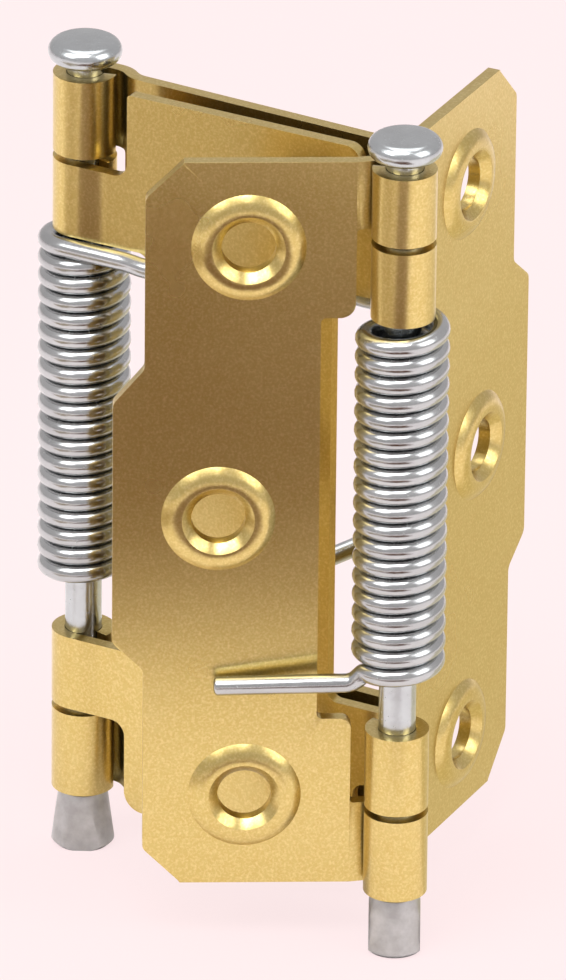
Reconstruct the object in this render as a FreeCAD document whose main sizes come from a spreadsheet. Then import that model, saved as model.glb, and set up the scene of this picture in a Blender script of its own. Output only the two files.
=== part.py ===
import FreeCAD, Part
import Sketcher
import math
import os

from FreeCAD import Placement, Rotation, Vector

# Double action spring hinge, in millimetres. A middle strap joins two pins.
# The jamb leaf turns about the left pin and the door leaf about the right pin,
# and each pin carries a torsion spring.
# +Z runs up along the pins. The origin lies on the outer face of the jamb leaf's
# mounting plate, midway between its two outer screw holes. The plate runs along
# X, and the two web arms run off from its fold at -X, close to +Y.

doc = FreeCAD.newDocument("spring_hinge")
sheet = doc.addObject("Spreadsheet::Sheet", "Sizes")

SIZES = [
    # Sheet metal and knuckles
    ("leaf_height", 76.2),
    ("sheet_thick", 1.25),
    ("pin_radius", 1.8),
    ("bore_play", 0.05),
    ("curl_turn", 285.0),
    ("knuckle_gap", 0.7),
    ("outline_round", 1.0),
    ("tab_round", 1.5),
    # Pins
    ("pin_spacing", 37.63),
    ("head_gap", 1.25),
    ("head_radius", 3.58),
    ("head_widest_rise", 0.95),
    ("head_side_radius", 1.1),
    ("head_height", 2.15),
    ("tail_gap", 0.4),
    ("tail_length", 5.9),
    ("tail_neck_radius", 2.4),
    ("tail_wide_radius", 3.1),
    ("tail_flat_reach", 2.5),
    ("tail_chamfer", 0.45),
    # Jamb leaf
    ("web_angle", 85.75),
    ("web_reach", 35.21),
    ("web_to_pin", 0.69),
    ("bend_inner", 1.0),
    ("joggle_before_pin", 5.61),
    ("joggle_length", 3.2),
    ("jamb_narrow_reach", 24.3),
    ("jamb_wide_reach", 27.8),
    ("jamb_step_top_inner", 13.6),
    ("jamb_step_top_outer", 16.4),
    ("jamb_step_low_inner", 14.0),
    ("jamb_step_low_outer", 16.5),
    ("jamb_corner_cut", 4.0),
    ("jamb_hole_reach", 13.7),
    ("jamb_centre_hole_reach", 17.0),
    ("jamb_hole_top", 28.8),
    ("jamb_hole_low", 29.9),
    ("jamb_hole_centre", -0.2),
    ("jamb_knuckle_under", 30.1),
    ("jamb_knuckle_over", 29.4),
    ("jamb_window_top", 23.6),
    ("jamb_window_low", 20.5),
    ("jamb_window_start", 1.7),
    ("jamb_notch", 3.7),
    # Middle strap
    ("strap_rest_angle", 2.0),
    ("strap_door_edge", 5.8),
    ("strap_jamb_edge", 6.3),
    ("strap_window_edge", 8.6),
    ("strap_door_arm", 7.6),
    ("strap_door_foot", 8.1),
    ("strap_jamb_arm", 7.5),
    ("strap_jamb_foot", 7.7),
    ("strap_jamb_top_round", 0.4),
    ("strap_jamb_low_round", 2.0),
    # Door leaf
    ("door_rest_angle", 30.25),
    ("door_narrow_reach", 24.4),
    ("door_wide_reach", 27.4),
    ("door_step_top_inner", 13.0),
    ("door_step_top_outer", 16.6),
    ("door_step_low_inner", 12.3),
    ("door_step_low_outer", 15.2),
    ("door_corner_cut", 3.7),
    ("door_hole_reach", 14.6),
    ("door_centre_hole_reach", 17.3),
    ("door_hole_top", 29.3),
    ("door_hole_low", 28.6),
    ("door_hole_centre", 0.9),
    ("door_knuckle_under", 31.1),
    ("door_knuckle_over", 29.6),
    ("door_window_edge", 7.7),
    ("door_window_top", 21.9),
    ("door_window_low", 20.5),
    ("door_notch", 4.4),
    ("door_step", 0.46),
    ("door_step_run", 2.4),
    # Raised ring round each screw hole
    ("screw_hole_radius", 2.6),
    ("ring_blank_radius", 6.0),
    ("ring_foot_radius", 5.46),
    ("ring_shoulder_radius", 4.95),
    ("ring_shoulder_height", 0.5),
    ("ring_crest_radius", 3.85),
    ("ring_crest_height", 0.82),
    ("ring_crest_width", 0.75),
    # Springs
    ("wire_radius", 0.94),
    ("coil_radius", 3.6),
    ("coil_gap", 0.045),
    ("coil_turns", 18),
    ("wire_sides", 8),
    ("runs_a_turn", 12),
    ("leg_bend_radius", 1.8),
    ("coil_seat_gap", 0.06),
    ("leg_start", 0.7),
    ("leg_touch_gap", 0.05),
    ("strap_leg_length", 17.6),
    ("door_leg_reach", 17.6),
    ("door_leg_drop", 2.5),
    ("door_leg_angle", 142.0),
    ("door_elbow_reach", 4.35),
    ("door_elbow_front", 1.3),
    ("door_elbow_drop", 1.4),
    ("jamb_leg_bend_reach", 12.5),
    ("jamb_leg_bend_back", 17.5),
    ("jamb_leg_bend_drop", 1.2),
    ("jamb_leg_reach", 24.6),
    ("jamb_leg_stand_off", 2.85),
    ("jamb_leg_rise", 4.5),
]

for row, (name, value) in enumerate(SIZES, start=1):
    sheet.set("A%d" % row, name)
    sheet.set("B%d" % row, str(value))
    sheet.setAlias("B%d" % row, name)
doc.recompute()


def size(name):
    return float(sheet.get(name))


# Sizes that follow from the sheet
thick = size("sheet_thick")
half = size("leaf_height") / 2.0
beyond = size("leaf_height")
bore = size("pin_radius") + size("bore_play")
outer = bore + thick
mid = bore + thick / 2.0
corner = size("outline_round")
tab = size("tab_round")
wire = size("wire_radius")
coil = size("coil_radius")
pitch = 2.0 * wire + size("coil_gap")


def turned(x, y, degrees):
    angle = math.radians(degrees)
    return Vector(
        x * math.cos(angle) - y * math.sin(angle),
        x * math.sin(angle) + y * math.cos(angle),
        0,
    )


def polar(radius, degrees):
    return turned(radius, 0, degrees)


# The flat strap is tangent to the front of the jamb pin and to the back of the
# door pin, so its run follows from the pin spacing.
strap_rise = 2.0 * mid
strap_run = math.sqrt(size("pin_spacing") ** 2 - strap_rise ** 2)
strap_turn = size("web_angle") + size("strap_rest_angle") - 180.0
door_turn = strap_turn + size("door_rest_angle")
jamb_pin_at = turned(size("web_reach"), size("web_to_pin"), size("web_angle"))
door_pin_at = jamb_pin_at - turned(-strap_run, strap_rise, strap_turn)


# Sketch helpers
def origin_plane(body, role):
    for item in body.Origin.OriginFeatures:
        if item.Role == role:
            return item
    raise RuntimeError("no origin plane " + role)


def new_sketch(body, name, role, offset=None):
    sketch = body.newObject("Sketcher::SketchObject", name)
    sketch.AttachmentSupport = (origin_plane(body, role), [""])
    sketch.MapMode = "FlatFace"
    if offset is not None:
        sketch.AttachmentOffset = offset
    return sketch


def line(first, second):
    return Part.LineSegment(first, second)


def arc(centre, radius, first_degrees, last_degrees):
    circle = Part.Circle(centre, Vector(0, 0, 1), radius)
    return Part.ArcOfCircle(circle, math.radians(first_degrees), math.radians(last_degrees))


def heading(point, centre):
    return math.degrees(math.atan2(point.y - centre.y, point.x - centre.x))


def short_arc(centre, radius, first, second):
    """The arc of less than half a turn between two points of a circle."""
    begin = heading(first, centre)
    sweep = (heading(second, centre) - begin) % 360.0
    if sweep > 180.0:
        return arc(centre, radius, begin + sweep, begin + 360.0)
    return arc(centre, radius, begin, begin + sweep)


def rounded(corners):
    """Closed outline through (x, y, radius) corners, each rounded by its radius."""
    entries = []
    exits = []
    curves = []
    count = len(corners)
    for i in range(count):
        here = Vector(corners[i][0], corners[i][1], 0)
        radius = corners[i][2]
        back = (Vector(corners[i - 1][0], corners[i - 1][1], 0) - here).normalize()
        following = corners[(i + 1) % count]
        ahead = (Vector(following[0], following[1], 0) - here).normalize()
        if radius <= 0:
            entries.append(here)
            exits.append(here)
            continue
        half_angle = back.getAngle(ahead) / 2.0
        reach = radius / math.tan(half_angle)
        centre = here + (back + ahead).normalize() * (radius / math.sin(half_angle))
        entries.append(here + back * reach)
        exits.append(here + ahead * reach)
        curves.append(short_arc(centre, radius, entries[-1], exits[-1]))
    for i in range(count):
        if (entries[(i + 1) % count] - exits[i]).Length > 1e-6:
            curves.append(line(exits[i], entries[(i + 1) % count]))
    return curves


def curl(centre, tangent, side):
    """One knuckle in plan: the sheet touches the circle at the tangent angle and
    winds on from there, clockwise for side -1 and anticlockwise for side +1."""
    end = tangent + side * size("curl_turn")
    low = min(tangent, end)
    high = max(tangent, end)
    curves = [
        arc(centre, outer, low, high),
        arc(centre, bore, low, high),
        line(centre + polar(outer, end), centre + polar(bore, end)),
    ]
    return curves, centre + polar(outer, tangent), centre + polar(bore, tangent)


# Feature helpers
def check_change(body, name, before, sign):
    doc.recompute()
    if (body.Shape.Volume - before) * sign < 0.01:
        raise RuntimeError(name + " changes nothing")


def pad_sheet(body, name, curves):
    sketch = new_sketch(body, name + "_plan", "XY_Plane")
    sketch.addGeometry(curves, False)
    doc.recompute()
    pad = body.newObject("PartDesign::Pad", name)
    pad.Profile = sketch
    pad.Midplane = True
    pad.setExpression("Length", "Sizes.leaf_height")
    doc.recompute()


def cut_sheet(body, name, curves, turn=0.0, deep=0.0):
    """Cuts an outline through a leaf, along its plate's normal. With a depth the
    cut reaches that far before and behind the plate's front plane."""
    before = body.Shape.Volume
    offset = Placement(Vector(0, 0, 0), Rotation(Vector(0, 1, 0), turn))
    sketch = new_sketch(body, name + "_outline", "XZ_Plane", offset)
    sketch.addGeometry(curves, False)
    doc.recompute()
    pocket = body.newObject("PartDesign::Pocket", name)
    pocket.Profile = sketch
    pocket.Midplane = True
    if deep:
        pocket.Length = 2.0 * deep
    else:
        pocket.setExpression("Length", "2 * Sizes.leaf_height")
    check_change(body, name, before, -1)


def screw_hole(body, name, side, reach, height, face):
    """A screw hole in a bead that is pressed out of the sheet toward -y: the
    sheet is opened round it and the bead is revolved about the hole's axis."""
    before = body.Shape.Volume
    sketch = new_sketch(body, name + "_blank_outline", "XZ_Plane")
    sketch.addGeometry(Part.Circle(Vector(0, 0, 0), Vector(0, 0, 1), size("ring_blank_radius")), False)
    radius = sketch.addConstraint(Sketcher.Constraint("Radius", 0, size("ring_blank_radius")))
    sketch.renameConstraint(radius, "blank")
    sketch.setExpression("Constraints.blank", "Sizes.ring_blank_radius")
    sketch.setExpression("AttachmentOffset.Base.x", "%d * Sizes.%s" % (side, reach))
    sketch.setExpression("AttachmentOffset.Base.y", height)
    doc.recompute()
    pocket = body.newObject("PartDesign::Pocket", name + "_blank")
    pocket.Profile = sketch
    pocket.Length = face + 2.0 * thick
    check_change(body, name + "_blank", before, -1)

    before = body.Shape.Volume
    rise = size("ring_crest_height")
    crest_out = size("ring_crest_radius") + size("ring_crest_width") / 2.0
    crest_in = size("ring_crest_radius") - size("ring_crest_width") / 2.0
    hole = size("screw_hole_radius")
    foot = size("ring_foot_radius")
    blank = size("ring_blank_radius")
    points = [
        (blank, 0.0),
        (foot, 0.0),
        (size("ring_shoulder_radius"), size("ring_shoulder_height")),
        (crest_out, rise),
        (crest_in, rise),
        (hole, 0.0),
        (hole, -thick),
        (size("ring_crest_radius"), rise - thick),
        (foot, -thick),
        (blank, -thick),
    ]
    sketch = new_sketch(body, name + "_bead_section", "XY_Plane")
    for i in range(len(points)):
        here = points[i]
        after = points[(i + 1) % len(points)]
        sketch.addGeometry(line(Vector(here[0], face - here[1], 0), Vector(after[0], face - after[1], 0)), False)
    sketch.setExpression("AttachmentOffset.Base.x", "%d * Sizes.%s" % (side, reach))
    sketch.setExpression("AttachmentOffset.Base.z", height)
    doc.recompute()
    bead = body.newObject("PartDesign::Revolution", name + "_bead")
    bead.Profile = sketch
    bead.ReferenceAxis = (sketch, ["V_Axis"])
    bead.Angle = 360.0
    check_change(body, name + "_bead", before, 1)


# Everything is laid out from the fold's outer corner at half height, and placed
# from the middle of the jamb leaf's outer screw holes.
fold_corner = Vector(-size("jamb_hole_reach"), 0, (size("jamb_hole_low") - size("jamb_hole_top")) / 2.0)


def place(item, position, turn):
    item.Placement = Placement(position + fold_corner, Rotation(Vector(0, 0, 1), turn))


# Door leaf. In its own frame the door pin is the origin and the plate runs
# along -x with its front face toward -y.
door_leaf = doc.addObject("PartDesign::Body", "door_leaf")
door_leaf.Label = "door_leaf"
wide_edge = -size("door_wide_reach")
notch = -size("door_notch")
# Beside its knuckles the sheet steps forward a little, clear of the strap, so
# that the plate's back can lie flat on the door.
step_start = Vector(notch + size("door_step_run"), 0, 0)
door_face = bore - size("door_step")
door_back = door_face + thick
curves, back_foot, front_foot = curl(Vector(0, 0, 0), 90.0, -1)
pad_sheet(door_leaf, "door_sheet", curves + [
    line(back_foot, step_start + Vector(0, outer, 0)),
    line(step_start + Vector(0, outer, 0), Vector(notch, door_back, 0)),
    line(Vector(notch, door_back, 0), Vector(wide_edge, door_back, 0)),
    line(Vector(wide_edge, door_back, 0), Vector(wide_edge, door_face, 0)),
    line(Vector(wide_edge, door_face, 0), Vector(notch, door_face, 0)),
    line(Vector(notch, door_face, 0), step_start + Vector(0, bore, 0)),
    line(step_start + Vector(0, bore, 0), front_foot),
])

window = -size("door_window_edge")
above = size("door_window_top")
below = -size("door_window_low")
cut_sheet(door_leaf, "door_spring_window", rounded([
    (beyond, -size("door_knuckle_over"), 0),
    (beyond, size("door_knuckle_under"), 0),
    (notch, size("door_knuckle_under"), 0.4 * corner),
    (notch, above, tab),
    (window, above, 0.5 * corner),
    (window, below, 0.5 * corner),
    (notch, below, corner),
    (notch, -size("door_knuckle_over"), 0.4 * corner),
]))


def trim_corner(body, name, side, level, narrow, wide, inner, outer_step, cut):
    """Takes one corner off a plate's free edge: a slanted corner, the narrow
    edge and the slanted step out to the wide edge in the middle."""
    far = side * beyond
    cut_sheet(body, name, rounded([
        (side * (narrow - cut), level * half, corner),
        (side * narrow, level * (half - cut), corner),
        (side * narrow, level * outer_step, corner),
        (side * wide, level * inner, corner),
        (side * wide, level * (inner - 2.0 * corner), 0),
        (far, level * (inner - 2.0 * corner), 0),
        (far, level * beyond, 0),
        (side * (narrow - cut), level * beyond, 0),
    ]))


for label, level in (("top", 1), ("low", -1)):
    trim_corner(
        door_leaf, "door_%s_corner" % label, -1, level,
        size("door_narrow_reach"), size("door_wide_reach"),
        size("door_step_%s_inner" % label), size("door_step_%s_outer" % label),
        size("door_corner_cut"),
    )
screw_hole(door_leaf, "door_top_hole", -1, "door_hole_reach", "Sizes.door_hole_top", door_face)
screw_hole(door_leaf, "door_centre_hole", -1, "door_centre_hole_reach", "Sizes.door_hole_centre", door_face)
screw_hole(door_leaf, "door_low_hole", -1, "door_hole_reach", "-Sizes.door_hole_low", door_face)
place(door_leaf, door_pin_at, door_turn)

# Middle strap, in the same kind of frame: flat between the pins, with two
# knuckles on each.
strap = doc.addObject("PartDesign::Body", "middle_strap")
strap.Label = "middle_strap"
far_pin = Vector(-strap_run, strap_rise, 0)
door_curl, strap_back, strap_front = curl(Vector(0, 0, 0), 90.0, -1)
jamb_curl, jamb_front, jamb_back = curl(far_pin, 270.0, -1)
pad_sheet(strap, "strap_sheet", door_curl + jamb_curl + [
    line(strap_back, jamb_back),
    line(strap_front, jamb_front),
])

gap = size("knuckle_gap")
door_arm_top = size("door_knuckle_under") - gap
door_arm_low = door_arm_top - size("strap_door_arm")
door_foot_low = -size("door_knuckle_over") + gap
door_foot_top = door_foot_low + size("strap_door_foot")
jamb_arm_top = size("jamb_knuckle_under") - gap
jamb_arm_low = jamb_arm_top - size("strap_jamb_arm")
jamb_foot_low = -size("jamb_knuckle_over") + gap
jamb_foot_top = jamb_foot_low + size("strap_jamb_foot")


def cut_strap_end(name, side, middle, edge, arm_top, arm_low, foot_top, foot_low, rounds):
    """Clears a spring window and the room of the two leaf knuckles at one pin.
    The rounds are those of the plate's upper and lower outer corner."""
    window_edge = middle - side * size("strap_window_edge")
    plate_edge = middle - side * edge
    inward = plate_edge - side * 2.0 * (corner + max(rounds))
    open_end = middle + side * beyond
    cut_sheet(strap, name + "_window", rounded([
        (open_end, foot_top, 0),
        (open_end, arm_low, 0),
        (window_edge, arm_low, corner),
        (window_edge, foot_top, corner),
    ]))
    for label, near, level, radius in (("_top", arm_top, 1, rounds[0]), ("_low", foot_low, -1, rounds[1])):
        cut_sheet(strap, name + label, rounded([
            (open_end, near, 0),
            (plate_edge, near, tab),
            (plate_edge, level * half, radius),
            (inward, level * half, 0),
            (inward, level * beyond, 0),
            (open_end, level * beyond, 0),
        ]))


cut_strap_end(
    "strap_door", 1, 0.0, size("strap_door_edge"),
    door_arm_top, door_arm_low, door_foot_top, door_foot_low, (tab, tab),
)
cut_strap_end(
    "strap_jamb", -1, -strap_run, size("strap_jamb_edge"),
    jamb_arm_top, jamb_arm_low, jamb_foot_top, jamb_foot_low,
    (size("strap_jamb_top_round"), size("strap_jamb_low_round")),
)
place(strap, door_pin_at, strap_turn)

# Jamb leaf: one sheet bent to an L, drawn from the fold's outer corner. Each web
# arm steps back in a joggle before it winds round the jamb pin.
jamb_leaf = doc.addObject("PartDesign::Body", "jamb_leaf")
jamb_leaf.Label = "jamb_leaf"


def on_web(along, ahead):
    return turned(along, ahead, size("web_angle"))


wide_edge = size("jamb_wide_reach")
bend_outer = size("bend_inner") + thick
bend_foot = bend_outer / math.tan(math.radians(size("web_angle")) / 2.0)
bend_centre = Vector(bend_foot, bend_outer, 0)
web_foot_angle = size("web_angle") + 90.0
step = bore - size("web_to_pin")
run = size("joggle_length")
bend_radius = (run ** 2 + step ** 2) / (4.0 * step)
bend_sweep = math.degrees(2.0 * math.atan2(step, run))
curves, back_foot, front_foot = curl(jamb_pin_at, size("web_angle") - 90.0, 1)
begin = size("web_reach") - size("joggle_before_pin")
curves += [
    line(Vector(wide_edge, 0, 0), Vector(bend_foot, 0, 0)),
    arc(bend_centre, bend_outer, web_foot_angle, 270.0),
    line(Vector(wide_edge, thick, 0), Vector(bend_foot, thick, 0)),
    arc(bend_centre, size("bend_inner"), web_foot_angle, 270.0),
    line(Vector(wide_edge, 0, 0), Vector(wide_edge, thick, 0)),
    line(on_web(bend_foot, 0), on_web(begin, 0)),
    line(on_web(bend_foot, -thick), on_web(begin, -thick)),
    line(on_web(begin + run, -step), front_foot),
    line(on_web(begin + run, -step - thick), back_foot),
]
web_angle = size("web_angle")
near_centre = on_web(begin, -thick / 2.0 - bend_radius)
far_centre = on_web(begin + run, -thick / 2.0 - step + bend_radius)
for radius in (bend_radius + thick / 2.0, bend_radius - thick / 2.0):
    curves.append(arc(near_centre, radius, web_angle + 90.0 - bend_sweep, web_angle + 90.0))
    curves.append(arc(far_centre, radius, web_angle + 270.0 - bend_sweep, web_angle + 270.0))
pad_sheet(jamb_leaf, "jamb_sheet", curves)

notch = size("web_reach") - size("jamb_notch")
start = size("jamb_window_start")
cut_sheet(jamb_leaf, "jamb_spring_window", rounded([
    (beyond, -size("jamb_knuckle_over"), 0),
    (beyond, size("jamb_knuckle_under"), 0),
    (notch, size("jamb_knuckle_under"), 0.4 * corner),
    (notch, size("jamb_window_top"), tab),
    (start, size("jamb_window_top"), 0.4 * corner),
    (start, -size("jamb_window_low"), 0.4 * corner),
    (notch, -size("jamb_window_low"), tab),
    (notch, -size("jamb_knuckle_over"), 0.4 * corner),
]), turn=web_angle, deep=outer + bore + thick)
for label, level in (("top", 1), ("low", -1)):
    trim_corner(
        jamb_leaf, "jamb_%s_corner" % label, 1, level,
        size("jamb_narrow_reach"), size("jamb_wide_reach"),
        size("jamb_step_%s_inner" % label), size("jamb_step_%s_outer" % label),
        size("jamb_corner_cut"),
    )
screw_hole(jamb_leaf, "jamb_top_hole", 1, "jamb_hole_reach", "Sizes.jamb_hole_top", 0.0)
screw_hole(jamb_leaf, "jamb_centre_hole", 1, "jamb_centre_hole_reach", "Sizes.jamb_hole_centre", 0.0)
screw_hole(jamb_leaf, "jamb_low_hole", 1, "jamb_hole_reach", "-Sizes.jamb_hole_low", 0.0)
place(jamb_leaf, Vector(0, 0, 0), 0.0)


# Pins: a turned shank with a round-sided head, and a flared tail that is pressed
# flat on two sides below the lowest knuckle.
def make_pin(name, position, turn):
    body = doc.addObject("PartDesign::Body", name)
    body.Label = name
    shank = size("pin_radius")
    under = half + size("head_gap")
    apex = under + size("head_height")
    neck = -half - size("tail_gap")
    lowest = neck - size("tail_length")
    chamfer = size("tail_chamfer")
    wide = size("tail_wide_radius")

    # The head's side is an arc, and its crown is an arc tangent to it.
    side = size("head_side_radius")
    side_centre = Vector(size("head_radius") - side, under + size("head_widest_rise"), 0)
    inner_top = apex - side
    crown_level = (inner_top ** 2 - side_centre.x ** 2 - side_centre.y ** 2) / (2.0 * (inner_top - side_centre.y))
    crown_centre = Vector(0, crown_level, 0)
    crown_end = heading(side_centre, crown_centre)
    side_start = -math.degrees(math.asin(min(1.0, size("head_widest_rise") / side)))
    head_foot = side_centre + polar(side, side_start)
    sketch = new_sketch(body, name + "_section", "XZ_Plane")
    sketch.addGeometry([
        line(Vector(0, apex, 0), Vector(0, lowest, 0)),
        line(Vector(0, lowest, 0), Vector(wide - chamfer, lowest, 0)),
        line(Vector(wide - chamfer, lowest, 0), Vector(wide, lowest + chamfer, 0)),
        line(Vector(wide, lowest + chamfer, 0), Vector(size("tail_neck_radius"), neck, 0)),
        line(Vector(size("tail_neck_radius"), neck, 0), Vector(shank, neck, 0)),
        line(Vector(shank, neck, 0), Vector(shank, head_foot.y, 0)),
        line(Vector(shank, head_foot.y, 0), head_foot),
        arc(side_centre, side, side_start, crown_end),
        arc(crown_centre, apex - crown_level, crown_end, 90.0),
    ], False)
    doc.recompute()
    turning = body.newObject("PartDesign::Revolution", name + "_turning")
    turning.Profile = sketch
    turning.ReferenceAxis = (sketch, ["V_Axis"])
    turning.Angle = 360.0
    doc.recompute()
    before = body.Shape.Volume
    flats = new_sketch(body, name + "_flats_outline", "XY_Plane", Placement(Vector(0, 0, neck), Rotation()))
    for level in (1, -1):
        near = level * size("tail_flat_reach")
        far = level * 2.0 * wide
        flats.addGeometry(rounded([
            (-2.0 * wide, near, 0), (2.0 * wide, near, 0), (2.0 * wide, far, 0), (-2.0 * wide, far, 0),
        ]), False)
    doc.recompute()
    pocket = body.newObject("PartDesign::Pocket", name + "_flats")
    pocket.Profile = flats
    pocket.setExpression("Length", "2 * Sizes.tail_length")
    check_change(body, name + "_flats", before, -1)
    place(body, position, turn)
    return body


jamb_pin = make_pin("jamb_pin", jamb_pin_at, -web_angle + 20.0)
door_pin = make_pin("door_pin", door_pin_at, 26.0)


# Springs: close coils of wire, wound right-handed, with straight legs. The wire is
# drawn in short straight runs with flat facets, mitred where two runs meet.
# Each spring is drawn about its own pin, turned like the strap.
def eased(points):
    """The points of a leg, with two short runs in each bend that has room for them."""
    path = [points[0]]
    for before, here, after in zip(points, points[1:], points[2:]):
        back = (before - here).normalize()
        ahead = (after - here).normalize()
        reach = size("leg_bend_radius") * math.tan((math.pi - back.getAngle(ahead)) / 2.0)
        if reach > 0.45 * min((before - here).Length, (after - here).Length):
            path.append(here)
        else:
            path += [here + back * reach, here + (back + ahead) * reach * 0.25, here + ahead * reach]
    return path + [points[-1]]


def wire_along(path):
    """A solid of flat facets round a path of straight runs."""
    sides = int(size("wire_sides"))
    ways = [(after - here).normalize() for here, after in zip(path, path[1:])]
    across = ways[0].cross(Vector(0, 0, 1)).normalize()
    lift = across.cross(ways[0])
    ring = []
    for i in range(sides):
        angle = 2.0 * math.pi * (i + 0.5) / sides
        ring.append(path[0] + across * (wire * math.cos(angle)) + lift * (wire * math.sin(angle)))
    faces = [Part.Face(Part.makePolygon(ring + ring[:1]))]
    for i, way in enumerate(ways):
        mitre = way if i == len(ways) - 1 else way + ways[i + 1]
        further = [point + way * ((path[i + 1] - point).dot(mitre) / way.dot(mitre)) for point in ring]
        for j in range(sides):
            k = (j + 1) % sides
            corners = [ring[j], ring[k], further[k], further[j], ring[j]]
            faces.append(Part.Face(Part.makePolygon(corners)))
        ring = further
    faces.append(Part.Face(Part.makePolygon(ring + ring[:1])))
    return Part.Solid(Part.Shell(faces))


def make_spring(name, position, top_level, top_angle, low_angle, top_points, low_points):
    """Coils from low_angle up to top_angle, and the legs on from both ends. The
    leg points are given from the coil outward, without the coil's own end."""
    turns = size("coil_turns") + ((top_angle - low_angle) % 360.0) / 360.0
    runs = round(turns * size("runs_a_turn"))
    coils = []
    for i in range(runs + 1):
        part = i / runs
        coils.append(polar(coil, low_angle + 360.0 * turns * part)
                     + Vector(0, 0, top_level - turns * pitch * (1.0 - part)))
    start = size("leg_start")
    climb = pitch / (2.0 * math.pi)
    low_way = (polar(coil, low_angle - 90.0) - Vector(0, 0, climb)).normalize()
    top_way = (polar(coil, top_angle + 90.0) + Vector(0, 0, climb)).normalize()
    top_leg = eased([coils[-1], coils[-1] + top_way * start] + top_points(coils[-1].z))
    low_leg = eased([coils[0], coils[0] + low_way * start] + low_points(coils[0].z))
    spring = doc.addObject("Part::Feature", name)
    spring.Label = name
    spring.Shape = wire_along(low_leg[:0:-1] + coils + top_leg[1:])
    place(spring, position, strap_turn)
    return spring


# The upper leg of each spring lies on the strap: behind it at the door pin and
# in front of it at the jamb pin.
touch = outer + wire + size("leg_touch_gap")
window_edge = size("strap_window_edge")
leg_end = size("strap_leg_length")


def upper_leg(side):
    def points(level):
        return [
            Vector(-side * (window_edge - 2.0 * wire), side * (coil + 0.02), level),
            Vector(-side * window_edge, side * touch, level),
            Vector(-side * leg_end, side * touch, level),
        ]
    return points


def door_lower_leg(level):
    """Bent out to the front of the door leaf, where its tip rests on the plate."""
    turn = size("door_rest_angle")
    elbow = turned(-size("door_elbow_reach"), -size("door_elbow_front"), turn)
    rest = door_face - wire - size("leg_touch_gap")
    tip = turned(-size("door_leg_reach"), rest, turn)
    return [
        elbow + Vector(0, 0, level - size("door_elbow_drop")),
        tip + Vector(0, 0, level - size("door_leg_drop")),
    ]


def jamb_lower_leg(level):
    """Runs off behind the coils and is bent once toward the inner face of the jamb
    leaf's mounting plate. Its end stands off the plate, so that the plate lies
    flat, and comes to bear when the strap has turned a few degrees."""
    bend = Vector(size("jamb_leg_bend_reach"), size("jamb_leg_bend_back"), 0) - jamb_pin_at
    tip = Vector(size("jamb_leg_reach"), thick + size("jamb_leg_stand_off"), 0) - jamb_pin_at
    return [
        turned(bend.x, bend.y, -strap_turn) + Vector(0, 0, level - size("jamb_leg_bend_drop")),
        turned(tip.x, tip.y, -strap_turn) + Vector(0, 0, level + size("jamb_leg_rise")),
    ]


# The coils end where a straight leg to that bend is tangent to them.
bend_from_pin = Vector(size("jamb_leg_bend_reach"), size("jamb_leg_bend_back"), 0) - jamb_pin_at
bend_heading = math.degrees(math.atan2(bend_from_pin.y, bend_from_pin.x)) - strap_turn
jamb_leg_angle = bend_heading + math.degrees(math.acos(coil / bend_from_pin.Length))
seat = wire + size("coil_seat_gap")
door_spring = make_spring(
    "door_spring", door_pin_at, door_arm_low - seat, 90.0,
    size("door_rest_angle") - size("door_leg_angle"), upper_leg(1), door_lower_leg,
)
jamb_spring = make_spring(
    "jamb_spring", jamb_pin_at, jamb_arm_low - seat, 270.0,
    jamb_leg_angle, upper_leg(-1), jamb_lower_leg,
)

# Check and write the pieces
doc.recompute()
for item in doc.Objects:
    if "Invalid" in item.State or "Error" in item.State:
        raise RuntimeError(item.Name + " has failed")
os.makedirs("parts", exist_ok=True)
pieces = [jamb_leaf, strap, door_leaf, jamb_pin, door_pin, jamb_spring, door_spring]
for item in pieces:
    shape = item.Shape
    if shape.isNull() or not shape.isValid() or len(shape.Solids) != 1:
        raise RuntimeError(item.Label + " is not one valid solid")
for item in pieces:
    item.Shape.exportStep("parts/%s.step" % item.Label)
    print(item.Label, round(item.Shape.Volume, 1), item.Shape.BoundBox)
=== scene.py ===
import math

import bmesh
import bpy
from mathutils import Matrix, Vector


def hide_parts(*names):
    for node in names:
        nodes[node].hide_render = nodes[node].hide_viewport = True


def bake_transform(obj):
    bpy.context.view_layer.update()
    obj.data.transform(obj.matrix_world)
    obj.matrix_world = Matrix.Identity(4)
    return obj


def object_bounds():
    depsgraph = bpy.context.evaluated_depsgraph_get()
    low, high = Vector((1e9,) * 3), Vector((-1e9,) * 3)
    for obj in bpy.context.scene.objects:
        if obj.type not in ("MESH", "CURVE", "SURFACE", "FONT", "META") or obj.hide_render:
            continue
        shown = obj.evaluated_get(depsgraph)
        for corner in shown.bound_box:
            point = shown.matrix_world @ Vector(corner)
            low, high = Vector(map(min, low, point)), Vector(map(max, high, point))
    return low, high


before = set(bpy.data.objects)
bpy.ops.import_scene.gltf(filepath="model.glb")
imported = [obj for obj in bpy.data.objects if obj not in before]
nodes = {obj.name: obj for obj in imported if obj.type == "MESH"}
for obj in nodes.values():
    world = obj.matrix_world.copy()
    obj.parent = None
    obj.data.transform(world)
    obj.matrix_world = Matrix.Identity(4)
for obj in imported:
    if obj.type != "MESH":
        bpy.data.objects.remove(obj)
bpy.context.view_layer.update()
scene = bpy.context.scene
MM = 0.001

# Places in millimetres, from the fold's outer corner at half height, as the
# solids are laid out. CORNER is that point in the row frame.
CORNER = Vector((-13.7, 0.0, 0.55))
JAMB_PIN = Vector((1.9213, 35.1643, 0.0))
DOOR_PIN = Vector((-4.4894, -1.9156, 0.0))
STRAP_TURN = -92.25
DOOR_REST = 30.25


def to_row(point):
    return (Vector(point) + CORNER) * MM


def turned(x, y, degrees, z=0.0):
    a = math.radians(degrees)
    return Vector((x * math.cos(a) - y * math.sin(a), x * math.sin(a) + y * math.cos(a), z))


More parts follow.
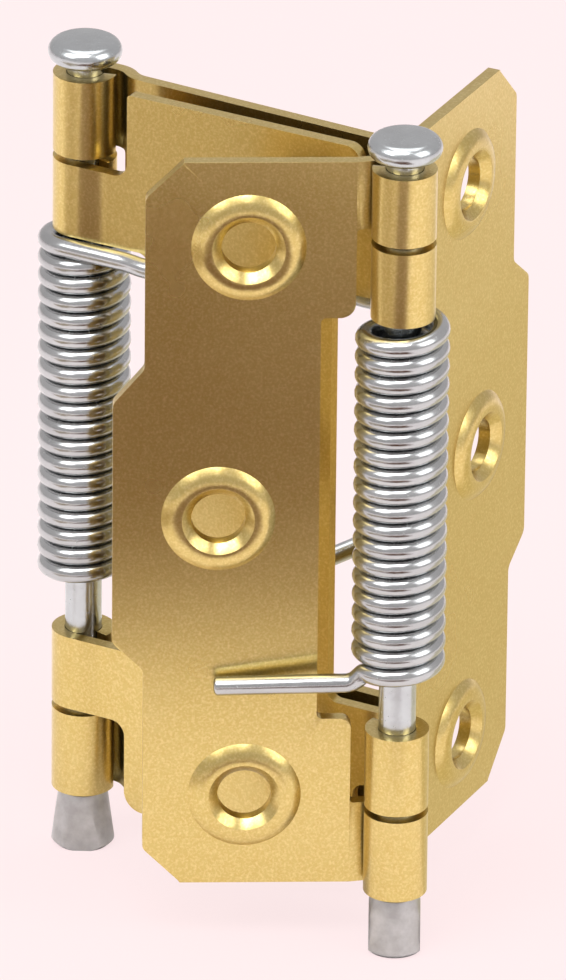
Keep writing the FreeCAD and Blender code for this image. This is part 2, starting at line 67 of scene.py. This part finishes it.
# Node helpers for the materials
def empty_material(name):
    mat = bpy.data.materials.new(name)
    mat.use_nodes = True
    tree = mat.node_tree
    tree.nodes.clear()
    out = tree.nodes.new("ShaderNodeOutputMaterial")
    return mat, tree, out


def metal_material(name):
    mat, tree, out = empty_material(name)
    shader = tree.nodes.new("ShaderNodeBsdfPrincipled")
    shader.inputs["Metallic"].default_value = 1.0
    tree.links.new(shader.outputs[0], out.inputs[0])
    return mat, tree, shader


def noise(tree, coords, scale, detail, rough):
    node = tree.nodes.new("ShaderNodeTexNoise")
    node.inputs["Scale"].default_value = scale
    node.inputs["Detail"].default_value = detail
    node.inputs["Roughness"].default_value = rough
    tree.links.new(coords, node.inputs["Vector"])
    return node.outputs["Fac"]


def remap(tree, value, low, high, to_low, to_high, interpolation="LINEAR"):
    node = tree.nodes.new("ShaderNodeMapRange")
    node.interpolation_type = interpolation
    node.inputs["From Min"].default_value = low
    node.inputs["From Max"].default_value = high
    node.inputs["To Min"].default_value = to_low
    node.inputs["To Max"].default_value = to_high
    tree.links.new(value, node.inputs["Value"])
    return node.outputs["Result"]


def blend_colours(tree, factor, first, second):
    node = tree.nodes.new("ShaderNodeMix")
    node.data_type = "RGBA"
    tree.links.new(factor, node.inputs["Factor"])
    for socket, colour in ((node.inputs[6], first), (node.inputs[7], second)):
        if isinstance(colour, tuple):
            socket.default_value = colour + (1.0,)
        else:
            tree.links.new(colour, socket)
    return node.outputs[2]


def object_coords(tree):
    return tree.nodes.new("ShaderNodeTexCoord").outputs["Object"]


def one_axis(tree, coords, axis):
    split = tree.nodes.new("ShaderNodeSeparateXYZ")
    tree.links.new(coords, split.inputs[0])
    return split.outputs[axis]


def add_bump(tree, shader, height, strength, distance):
    bump = tree.nodes.new("ShaderNodeBump")
    bump.inputs["Strength"].default_value = strength
    bump.inputs["Distance"].default_value = distance
    tree.links.new(height, bump.inputs["Height"])
    tree.links.new(bump.outputs["Normal"], shader.inputs["Normal"])


# The strap's sheet dips a little where it leaves the knuckles of the jamb pin,
# from the first of these places along Y to the second, in metres.
DIP_START = 0.0352
DIP_END = 0.0309
DIP_DEPTH = 0.0016


# Brass plating on sheet steel: warm and satin, with a fine speckled grain and a
# faint cloudy tarnish. The seed moves the pattern, so that no two sheets match.
def brass(name, seed, dipped):
    mat, tree, shader = metal_material(name)
    coords = object_coords(tree)
    shift = tree.nodes.new("ShaderNodeMapping")
    shift.inputs["Location"].default_value = (seed, seed * 0.7, seed * 1.3)
    tree.links.new(coords, shift.inputs["Vector"])
    place = shift.outputs["Vector"]
    grain = noise(tree, place, 3800.0, 2.0, 0.6)
    speck = noise(tree, place, 1500.0, 3.0, 0.6)
    cloud = noise(tree, place, 55.0, 3.0, 0.55)
    cloudy = remap(tree, cloud, 0.35, 0.68, 0.0, 1.0)
    specked = remap(tree, speck, 0.35, 0.75, 0.0, 0.45)
    grainy = remap(tree, grain, 0.45, 0.75, 0.0, 0.5)
    base = blend_colours(tree, cloudy, (0.545, 0.42, 0.145), (0.575, 0.45, 0.172))
    base = blend_colours(tree, specked, base, (0.52, 0.36, 0.11))
    base = blend_colours(tree, grainy, base, (0.80, 0.66, 0.33))
    tree.links.new(base, shader.inputs["Base Color"])
    tree.links.new(remap(tree, cloud, 0.3, 0.7, 0.272, 0.29), shader.inputs["Roughness"])
    if dipped:
        along = one_axis(tree, coords, "Y")
        dip = remap(tree, along, DIP_START, DIP_END, 0.0, -1.0, "SMOOTHSTEP")
        add_bump(tree, shader, dip, 1.0, DIP_DEPTH)
    return mat


# Drawn spring wire: bright grey, slightly darker in clouds.
def spring_steel():
    rough = 0.22
    bright = (0.47, 0.485, 0.49)
    dark = tuple(c * 0.78 for c in bright)
    mat, tree, shader = metal_material("spring_wire")
    coords = object_coords(tree)
    grain = noise(tree, coords, 1800.0, 3.0, 0.6)
    cloud = noise(tree, coords, 160.0, 3.0, 0.5)
    base = blend_colours(tree, remap(tree, cloud, 0.35, 0.7, 0.0, 0.8), bright, dark)
    tree.links.new(base, shader.inputs["Base Color"])
    tree.links.new(remap(tree, grain, 0.3, 0.7, rough * 0.8, rough * 1.25), shader.inputs["Roughness"])
    add_bump(tree, shader, grain, 0.10, 0.00005)
    return mat


# The pins are bright above and dull, blotched grey where the tail is flared,
# below these two heights in metres.
TAIL_BRIGHT = -0.0372
TAIL_DULL = -0.0380


def pin_steel():
    mat, tree, shader = metal_material("pin_steel")
    coords = object_coords(tree)
    tail = remap(tree, one_axis(tree, coords, "Z"), TAIL_BRIGHT, TAIL_DULL, 0.0, 1.0)
    blotch = noise(tree, coords, 420.0, 4.0, 0.6)
    grain = noise(tree, coords, 2400.0, 3.0, 0.6)
    light_blotch = remap(tree, blotch, 0.4, 0.7, 0.0, 0.6)
    heavy_blotch = remap(tree, blotch, 0.35, 0.65, 0.0, 1.0)
    bright = blend_colours(tree, light_blotch, (0.48, 0.51, 0.52), (0.40, 0.42, 0.43))
    dull = blend_colours(tree, heavy_blotch, (0.46, 0.462, 0.462), (0.34, 0.338, 0.335))
    tree.links.new(blend_colours(tree, tail, bright, dull), shader.inputs["Base Color"])
    rough = tree.nodes.new("ShaderNodeMath")
    rough.operation = "ADD"
    tree.links.new(remap(tree, tail, 0.0, 1.0, 0.20, 0.30), rough.inputs[0])
    tree.links.new(remap(tree, grain, 0.3, 0.7, 0.0, 0.08), rough.inputs[1])
    tree.links.new(rough.outputs[0], shader.inputs["Roughness"])
    add_bump(tree, shader, blotch, 0.12, 0.00012)
    return mat


def dress(node, material):
    obj = nodes[node]
    for slot in obj.material_slots:
        slot.material = material
    if not obj.material_slots:
        obj.data.materials.append(material)


def soften_edges(node, width, angle):
    """The sheared edges of the sheet and the pins' rims are slightly rounded."""
    obj = nodes[node]
    weld = obj.modifiers.new("weld", "WELD")
    weld.merge_threshold = 0.00001
    bevel = obj.modifiers.new("edges", "BEVEL")
    bevel.width = width
    bevel.segments = 3
    bevel.limit_method = "ANGLE"
    bevel.angle_limit = math.radians(angle)
    bevel.use_clamp_overlap = True
    even = obj.modifiers.new("even", "WEIGHTED_NORMAL")
    even.keep_sharp = False
    even.weight = 60


# Rounding of the edges, in metres, and the angle in degrees that counts as one
SHEET_EDGE = 0.00034
SHEET_EDGE_ANGLE = 32.0
PIN_EDGE = 0.0003
PIN_EDGE_ANGLE = 40.0

for index, name in enumerate(("jamb_leaf", "middle_strap", "door_leaf")):
    dress(name, brass(name + "_brass", 0.37 * (index + 1), dipped=name == "middle_strap"))
    soften_edges(name, SHEET_EDGE, SHEET_EDGE_ANGLE)
pins = pin_steel()
for name in ("jamb_pin", "door_pin"):
    dress(name, pins)
    soften_edges(name, PIN_EDGE, PIN_EDGE_ANGLE)


# Springs: a round wire swept along its coils and legs, drawn in place of each
# spring part. WIRE and COIL are radii.
WIRE = 0.94
COIL = 3.6
PITCH = 2.0 * WIRE + 0.045
WHOLE_TURNS = 18.0
STEPS_A_TURN = 40
WIRE_SIDES = 16
LEG_BEND = 1.3
LEG_BEND_STEPS = 6
CUT_END = ((0.0, 0.72), (0.16, 0.93), (0.32, 1.0))
SEAT = WIRE + 0.06

# A leg's middle beside the strap or the door leaf, whose faces are this far from
# the middle of the pin
LEG_GAP = 0.05
STRAP_FACE = 3.10
DOOR_FACE = 1.39
UPPER_LEG_STANDS = STRAP_FACE + WIRE + LEG_GAP
UPPER_LEG_LEAVES = 6.7
UPPER_LEG_LANDS = 8.6
LEG_REACH = 17.6

# The door spring's lower leg, from the door pin and along the door leaf
DOOR_LEG_ANGLE = DOOR_REST - 142.0
DOOR_LEG_START = 0.7
DOOR_ELBOW = (-4.35, -1.3)
DOOR_ELBOW_DROP = 1.4
DOOR_TIP = (-LEG_REACH, DOOR_FACE - WIRE - LEG_GAP)
DOOR_TIP_DROP = 2.5

# The jamb spring's lower leg, from the jamb pin to the mounting plate
JAMB_BEND = Vector((12.5, 17.5, 0)) - JAMB_PIN
JAMB_BEND_DROP = 1.2
JAMB_TIP = Vector((24.6, 4.1, 0)) - JAMB_PIN
JAMB_TIP_RISE = 4.5
JAMB_LEG_ANGLE = (
    math.degrees(math.atan2(JAMB_BEND.y, JAMB_BEND.x)) - STRAP_TURN
    + math.degrees(math.acos(COIL / JAMB_BEND.length))
)

# The coils' upper ends, and a lower height given for each spring's twist
DOOR_COIL_TOP = 22.8 - SEAT
JAMB_COIL_TOP = 21.9 - SEAT
DOOR_TWIST_END = -13.0
JAMB_TWIST_END = -8.2


def soft_corners(points, radius):
    """Rounds the bends of a path of straight runs."""
    path = [points[0]]
    for i in range(1, len(points) - 1):
        here = points[i]
        back = points[i - 1] - here
        ahead = points[i + 1] - here
        reach = min(radius, 0.45 * back.length, 0.45 * ahead.length)
        first = here + back.normalized() * reach
        last = here + ahead.normalized() * reach
        for k in range(LEG_BEND_STEPS + 1):
            t = k / LEG_BEND_STEPS
            path.append(first * (1 - t) ** 2 + here * 2 * t * (1 - t) + last * t ** 2)
    path.append(points[-1])
    return path


def spring_path(top_level, top_angle, low_angle, upper, lower):
    turns = WHOLE_TURNS + ((top_angle - low_angle) % 360.0) / 360.0
    low_level = top_level - turns * PITCH
    steps = int(turns * STEPS_A_TURN)
    coils = []
    for i in range(steps + 1):
        part = i / steps
        coils.append(turned(COIL, 0, low_angle + 360.0 * turns * part, low_level + turns * PITCH * part))
    low_leg = soft_corners([coils[0]] + lower(low_level), LEG_BEND)[1:]
    top_leg = soft_corners([coils[-1]] + upper(top_level), LEG_BEND)[1:]
    return list(reversed(low_leg)) + coils + top_leg


def sweep_wire(name, path):
    """Sweeps a ring along the path; the wire's cut ends are slightly rounded."""
    mesh = bpy.data.meshes.new(name)
    bm = bmesh.new()
    rings = []
    side = None
    last = len(path) - 1
    for i, point in enumerate(path):
        way = (path[min(i + 1, last)] - path[max(i - 1, 0)]).normalized()
        if side is None:
            side = way.orthogonal().normalized()
        side = (side - way * side.dot(way)).normalized()
        other = way.cross(side)
        places = [(0.0, 1.0)]
        if i == 0:
            places = CUT_END
        elif i == last:
            places = [(-along, wide) for along, wide in reversed(CUT_END)]
        for along, wide in places:
            ring = []
            for k in range(WIRE_SIDES):
                a = 2.0 * math.pi * k / WIRE_SIDES
                offset = (side * math.cos(a) + other * math.sin(a)) * WIRE * wide
                ring.append(bm.verts.new(to_row(point + way * along + offset)))
            rings.append(ring)
    for first, second in zip(rings, rings[1:]):
        for k in range(WIRE_SIDES):
            ahead = (k + 1) % WIRE_SIDES
            bm.faces.new((first[k], first[ahead], second[ahead], second[k]))
    bm.faces.new(list(reversed(rings[0])))
    bm.faces.new(rings[-1])
    for face in bm.faces:
        face.smooth = len(face.verts) == 4
    bmesh.ops.recalc_face_normals(bm, faces=bm.faces)
    bm.to_mesh(mesh)
    bm.free()
    obj = bpy.data.objects.new(name, mesh)
    scene.collection.objects.link(obj)
    return obj


def upper_leg(side):
    def points(level):
        return [
            Vector((-side * UPPER_LEG_LEAVES, side * (COIL + 0.02), level)),
            Vector((-side * UPPER_LEG_LANDS, side * UPPER_LEG_STANDS, level)),
            Vector((-side * LEG_REACH, side * UPPER_LEG_STANDS, level)),
        ]
    return points


def door_lower_leg(level):
    start = turned(COIL, 0, DOOR_LEG_ANGLE, level)
    way = turned(1, 0, DOOR_LEG_ANGLE - 90.0, -PITCH / (2.0 * math.pi * COIL))
    return [
        start + way * DOOR_LEG_START,
        turned(*DOOR_ELBOW, DOOR_REST, level - DOOR_ELBOW_DROP),
        turned(*DOOR_TIP, DOOR_REST, level - DOOR_TIP_DROP),
    ]


def jamb_lower_leg(level):
    return [
        turned(JAMB_BEND.x, JAMB_BEND.y, -STRAP_TURN, level - JAMB_BEND_DROP),
        turned(JAMB_TIP.x, JAMB_TIP.y, -STRAP_TURN, level + JAMB_TIP_RISE),
    ]


spring_wire = spring_steel()
for name, pin, top_level, angles, upper, lower, low_body, twist_end in (
    ("door_spring_wire", DOOR_PIN, DOOR_COIL_TOP, (90.0, DOOR_LEG_ANGLE),
     upper_leg(1), door_lower_leg, "door side", DOOR_TWIST_END),
    ("jamb_spring_wire", JAMB_PIN, JAMB_COIL_TOP, (270.0, JAMB_LEG_ANGLE),
     upper_leg(-1), jamb_lower_leg, "jamb side", JAMB_TWIST_END),
):
    path = spring_path(top_level, angles[0], angles[1], upper, lower)
    path = [turned(p.x, p.y, STRAP_TURN, p.z) + pin for p in path]
    wire = sweep_wire(name, path)
    wire.data.materials.append(spring_wire)
    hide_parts(name.removesuffix("_wire"))
    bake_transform(wire)

# Camera: seen from 25.5 degrees above, as far off as the photograph's flat
# perspective asks, with a slight roll.
PHOTO_WIDTH = 566.0
PHOTO_HEIGHT = 980.0
SENSOR_HEIGHT = 36.0
LENS = 501.2
EYE = (-1064.0, -506.2, 564.0)
AIM = (-9.40, 8.14, 4.37)
ROLL = 0.58

camera_data = bpy.data.cameras.new("camera")
camera = bpy.data.objects.new("camera", camera_data)
scene.collection.objects.link(camera)
camera_data.sensor_fit = "VERTICAL"
camera_data.sensor_height = SENSOR_HEIGHT
camera_data.sensor_width = SENSOR_HEIGHT * PHOTO_WIDTH / PHOTO_HEIGHT
camera_data.lens = LENS
camera_data.clip_start = 0.05
camera_data.clip_end = 20.0
eye = to_row(EYE)
aim = to_row(AIM)
facing = (aim - eye).to_track_quat("-Z", "Y").to_matrix()
roll = Matrix.Rotation(math.radians(ROLL), 3, "Z")
camera.matrix_world = Matrix.Translation(eye) @ (facing @ roll).to_4x4()
scene.camera = camera

# Floor and light. FRONT points from the object toward the camera, on the floor.
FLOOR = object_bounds()[0][2]
FRONT = Vector((eye.x - aim.x, eye.y - aim.y, 0.0)).normalized()
RIGHT = Vector((-FRONT.y, FRONT.x, 0.0))
CENTRE = to_row((AIM[0], AIM[1], 0.0))
CENTRE.z = FLOOR
HALF_HEIGHT = Vector((0, 0, 0.044))


def flat(name, across, forward, size_across, size_forward, level, material):
    """A level rectangle, placed by its middle in the camera's own directions."""
    mesh = bpy.data.meshes.new(name)
    corners = []
    for u, v in ((-1, -1), (1, -1), (1, 1), (-1, 1)):
        corners.append(
            CENTRE + RIGHT * (across + u * size_across / 2) + FRONT * (forward + v * size_forward / 2)
            + Vector((0, 0, level))
        )
    mesh.from_pydata([tuple(c) for c in corners], [], [(0, 1, 2, 3)])
    mesh.materials.append(material)
    obj = bpy.data.objects.new(name, mesh)
    scene.collection.objects.link(obj)
    return obj


# The camera sees the floor mostly as an even glow, with a faint shadow in it.
def floor_material():
    mat, tree, out = empty_material("pale_floor")
    mix = tree.nodes.new("ShaderNodeMixShader")
    matt = tree.nodes.new("ShaderNodeBsdfDiffuse")
    glow = tree.nodes.new("ShaderNodeEmission")
    ray = tree.nodes.new("ShaderNodeLightPath")
    matt.inputs["Color"].default_value = (0.86, 0.80, 0.80, 1)
    glow.inputs["Color"].default_value = (1.0, 0.835, 0.842, 1)
    glow.inputs["Strength"].default_value = 1.0
    share = tree.nodes.new("ShaderNodeMath")
    share.operation = "MULTIPLY"
    share.inputs[1].default_value = 0.9
    tree.links.new(ray.outputs["Is Camera Ray"], share.inputs[0])
    tree.links.new(share.outputs[0], mix.inputs[0])
    tree.links.new(matt.outputs[0], mix.inputs[1])
    tree.links.new(glow.outputs[0], mix.inputs[2])
    tree.links.new(mix.outputs[0], out.inputs[0])
    return mat


def card_material(name, colour):
    mat, tree, out = empty_material(name)
    glow = tree.nodes.new("ShaderNodeEmission")
    glow.inputs["Color"].default_value = colour + (1.0,)
    glow.inputs["Strength"].default_value = 1.0
    tree.links.new(glow.outputs[0], out.inputs[0])
    return mat


flat("floor", 0.0, 0.0, 8.0, 8.0, 0.0, floor_material())
# Cards that only the metal reflects: a dark one before the door leaf and paler
# ones beside the strap and beside the mounting plate.
for name, across, forward, wide, deep, level, colour in (
    ("dark_card", -0.01, 0.15, 0.12, 0.17, 0.0006, (0.175, 0.07, 0.035)),
    ("left_card", -0.138, 0.085, 0.13, 0.15, 0.0005, (0.65, 0.52, 0.385)),
    ("right_card", 0.085, -0.07, 0.15, 0.13, 0.0004, (0.98, 0.87, 0.64)),
):
    card = flat(name, across, forward, wide, deep, level, card_material(name, colour))
    card.visible_camera = False
    card.visible_diffuse = False
    card.visible_shadow = False
    card.visible_transmission = False

world = bpy.data.worlds.new("world")
scene.world = world
world.use_nodes = True
world_tree = world.node_tree
world_tree.nodes.clear()
world_out = world_tree.nodes.new("ShaderNodeOutputWorld")
back = world_tree.nodes.new("ShaderNodeBackground")
back.inputs["Color"].default_value = (1.0, 0.95, 0.95, 1)
back.inputs["Strength"].default_value = 0.72
world_tree.links.new(back.outputs[0], world_out.inputs[0])


def softbox(name, across, forward, height, size, power):
    data = bpy.data.lights.new(name, "AREA")
    data.shape = "RECTANGLE"
    data.size = size[0]
    data.size_y = size[1]
    data.energy = power
    lamp = bpy.data.objects.new(name, data)
    scene.collection.objects.link(lamp)
    place = CENTRE + RIGHT * across + FRONT * forward + Vector((0, 0, height))
    lamp.location = place
    lamp.rotation_euler = (CENTRE + HALF_HEIGHT - place).to_track_quat("-Z", "Y").to_euler()


softbox("key", -0.55, 0.35, 0.75, (0.5, 0.5), 4.0)
softbox("fill", 0.65, 0.35, 0.55, (0.5, 0.6), 3.0)
softbox("top", 0.0, -0.2, 0.95, (0.7, 0.5), 2.5)
softbox("front", -0.08, 0.36, 0.80, (0.36, 0.30), 3.2)

scene.view_settings.view_transform = "Standard"
